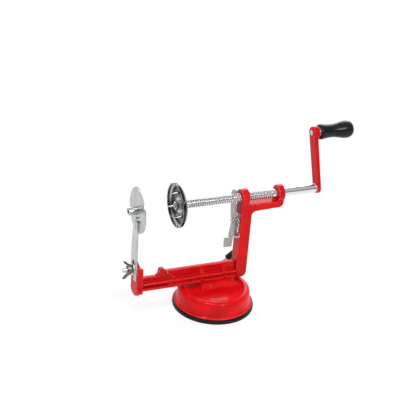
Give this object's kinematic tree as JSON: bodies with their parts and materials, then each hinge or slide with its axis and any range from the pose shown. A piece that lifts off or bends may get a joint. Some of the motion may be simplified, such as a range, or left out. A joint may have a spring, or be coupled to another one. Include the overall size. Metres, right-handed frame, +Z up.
{
  "type": "spiral potato cutter",
  "caption": "Hand-cranked spiral potato cutter: screw-fed fork and crank on a red cast frame, clamped blade, lever-locked suction base.",
  "frame": {"origin": "on the table, under the middle of the suction cup", "axes": "+X along the screw shaft towards the crank, +Y to the back where the suction lever is, +Z up"},
  "size_m": [0.3193, 0.1111, 0.222],
  "materials": {
    "frame_paint": "gloss",
    "base_paint": "gloss",
    "crank_paint": "gloss",
    "cup_rubber": "matt",
    "stem_steel": "plain",
    "lever_plating": "polished",
    "tip_plastic": "satin",
    "bush_plastic": "plain",
    "fastener_steel": "zinc plated",
    "shaft_plating": "bright",
    "dish_steel": "polished",
    "grip_plastic": "satin",
    "plate_steel": "dull plated",
    "spring_steel": "bright",
    "blade_steel": "satin",
    "wing_brass": "dull"
  },
  "bodies": {
    "frame": {"frame_casting": "frame_paint", "base_housing": "base_paint", "base_screws": "fastener_steel", "base_washers": "fastener_steel", "suction_cup": "cup_rubber", "lever_bush": "bush_plastic", "pivot_screw": "fastener_steel", "pivot_spacer": "fastener_steel", "spring_anchor": "fastener_steel", "release_spring": "spring_steel", "blade_bolt": "fastener_steel"},
    "carriage": {"thrust_washer": "fastener_steel"},
    "crank": {"crank_shaft": "shaft_plating", "fork_hub": "shaft_plating", "fork_dish": "dish_steel", "fork_washer": "fastener_steel", "fork_nut": "fastener_steel", "fork_spikes": "dish_steel", "crank_arm": "crank_paint", "grip_axle": "fastener_steel", "grip_washer": "fastener_steel"},
    "grip": {"handle_grip": "grip_plastic", "grip_plug": "grip_plastic"},
    "release": {"release_plate": "plate_steel"},
    "lever": {"suction_lever": "lever_plating", "lever_tip": "tip_plastic", "lever_clip": "fastener_steel"},
    "stem": {"suction_stem": "stem_steel", "stem_plate": "stem_steel"},
    "clamp_washer": {"wing_washer": "fastener_steel"},
    "wing": {"wing_nut": "wing_brass"},
    "blade": {"blade_disc": "blade_steel", "blade_hub": "blade_steel", "blade_arm": "blade_steel", "blade_rivets": "blade_steel"}
  },
  "joints": [
    {"name": "feed", "type": "slide", "parent": "frame", "child": "carriage", "axis": [-1, 0, 0], "range_m": [-0.0661, 0.0361]},
    {"name": "crank_turn", "type": "hinge", "parent": "carriage", "child": "crank", "pos_m": [0, 0.012, 0.1435], "axis": [-1, 0, 0], "range_deg": [-7920, 4320]},
    {"name": "grip_spin", "type": "hinge", "parent": "crank", "child": "grip", "pos_m": [0.15, 0.03769, 0.21044], "axis": [1, 0, 0], "continuous": true},
    {"name": "release", "type": "hinge", "parent": "frame", "child": "release", "pos_m": [0.025, 0.012, 0.112], "axis": [-1, 0, 0], "range_deg": [0, 3.4], "stiffness_Nm_per_rad": 0.02, "springref_deg": -35.52, "deforming": ["release_spring"]},
    {"name": "suction_lever", "type": "hinge", "parent": "frame", "child": "lever", "pos_m": [0.006, 0.044, 0.013], "axis": [0, 1, 0], "range_deg": [0, 30]},
    {"name": "stem_lift", "type": "slide", "parent": "frame", "child": "stem", "axis": [0, 0, 1], "range_m": [0, 0.003]},
    {"name": "wing_slide", "type": "slide", "parent": "frame", "child": "clamp_washer", "axis": [-1, 0, 0], "range_m": [0, 0.003]},
    {"name": "wing_turn", "type": "hinge", "parent": "clamp_washer", "child": "wing", "pos_m": [-0.112, 0.012, 0.0615], "axis": [-1, 0, 0], "range_deg": [0, 1080]},
    {"name": "blade_lift", "type": "slide", "parent": "frame", "child": "blade", "axis": [0, 0, 1], "range_m": [0, 0.02]}
  ],
  "couplings": [
    {"joint": "feed", "follows": "crank_turn", "m_per_rad": 0.00047746},
    {"joint": "stem_lift", "follows": "suction_lever", "m_per_rad": 0.0057296},
    {"joint": "wing_slide", "follows": "wing_turn", "m_per_rad": 0.00015915}
  ]
}
